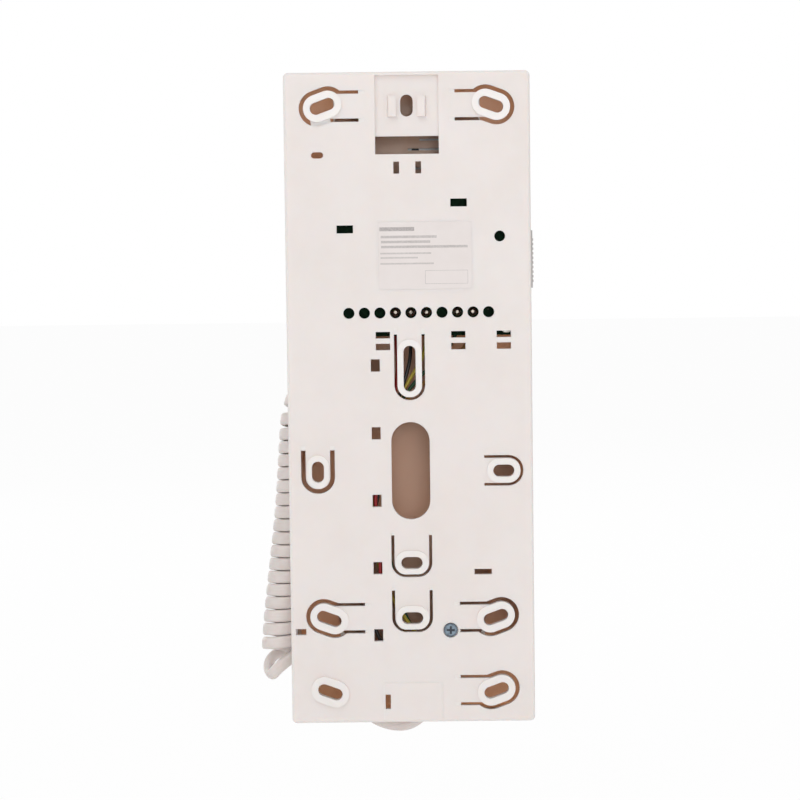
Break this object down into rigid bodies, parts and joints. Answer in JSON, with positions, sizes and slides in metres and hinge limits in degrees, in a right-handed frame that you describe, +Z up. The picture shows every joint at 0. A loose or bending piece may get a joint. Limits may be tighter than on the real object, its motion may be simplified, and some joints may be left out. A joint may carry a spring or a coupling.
{
  "type": "wall intercom handset",
  "caption": "Wall-mounted audio intercom with a lift-off handset, coiled cord, door button and volume slider, seen with its slotted back plate.",
  "frame": {"origin": "centre of the wire window on the wall plane, which is the plane of the slot bosses on the back", "axes": "+Z up along the length; +Y into the wall, so the handset faces -Y; +X to the left in a view of the back"},
  "size_m": [0.0912, 0.0555, 0.219],
  "materials": {
    "housing": "fine matt moulded plastic, warm white",
    "label": "plain printed sticker",
    "dark_screw": "blued steel",
    "bright_screw": "plated steel",
    "board": "dark green solder mask",
    "solder": "dull solder",
    "terminal": "light moulded plastic",
    "grey_plastic": "grey moulded plastic",
    "black_plastic": "black moulded plastic",
    "soft_black": "soft black rubber",
    "lens": "clear red plastic",
    "capacitor": "sleeved can",
    "cord": "soft warm grey cord jacket",
    "red": "red wire jacket",
    "yellow": "yellow wire jacket",
    "green": "dark green wire jacket",
    "amber": "amber wire jacket"
  },
  "bodies": {
    "base": {"back_plate": "housing", "back_label": "label", "plate_screw": "dark_screw", "front_cover": "housing", "cord_boot": "cord", "main_board": "board", "board_screws": "bright_screw", "main_terminal_block": "terminal", "door_terminal_block": "terminal", "terminal_screws": "bright_screw", "solder_joints": "solder", "volume_switch": "black_plastic", "call_sounder": "black_plastic", "indicator_led": "lens", "indicator_lens": "lens", "hook_switch": "black_plastic", "door_switch": "black_plastic", "control_chip": "black_plastic", "capacitors": "capacitor", "wire_socket": "terminal", "coil_cord": "cord", "base_lead": "cord", "red_wire": "red", "black_wire": "soft_black", "yellow_wire": "yellow", "green_wire": "green", "amber_wire": "amber"},
    "handset": {"handset_outer_shell": "housing", "handset_inner_shell": "housing", "handset_screws": "bright_screw", "earpiece_gasket": "soft_black", "earpiece": "black_plastic", "microphone_boot": "soft_black", "microphone": "bright_screw", "handset_strain_relief": "cord", "handset_lead": "cord", "ear_wire": "red", "mic_wire": "green"},
    "plunger": {"hook_plunger": "housing"},
    "button": {"door_button": "grey_plastic"},
    "slider": {"volume_slider": "grey_plastic"}
  },
  "joints": [
    {"name": "handset_lift", "type": "slide", "parent": "base", "child": "handset", "axis": [0, -0.9659, 0.2588], "range_m": [0, 0.06]},
    {"name": "plunger_press", "type": "slide", "parent": "base", "child": "plunger", "axis": [0, -1, 0], "range_m": [0, 0.003]},
    {"name": "button_press", "type": "slide", "parent": "base", "child": "button", "axis": [0, 1, 0], "range_m": [0, 0.0012], "stiffness_N_per_m": 800, "springref_m": -0.0015},
    {"name": "volume_slide", "type": "slide", "parent": "base", "child": "slider", "axis": [0, 0, 1], "range_m": [-0.0024, 0.0016]}
  ],
  "couplings": [
    {"joint": "plunger_press", "follows": "handset_lift", "ratio": 0.05}
  ]
}
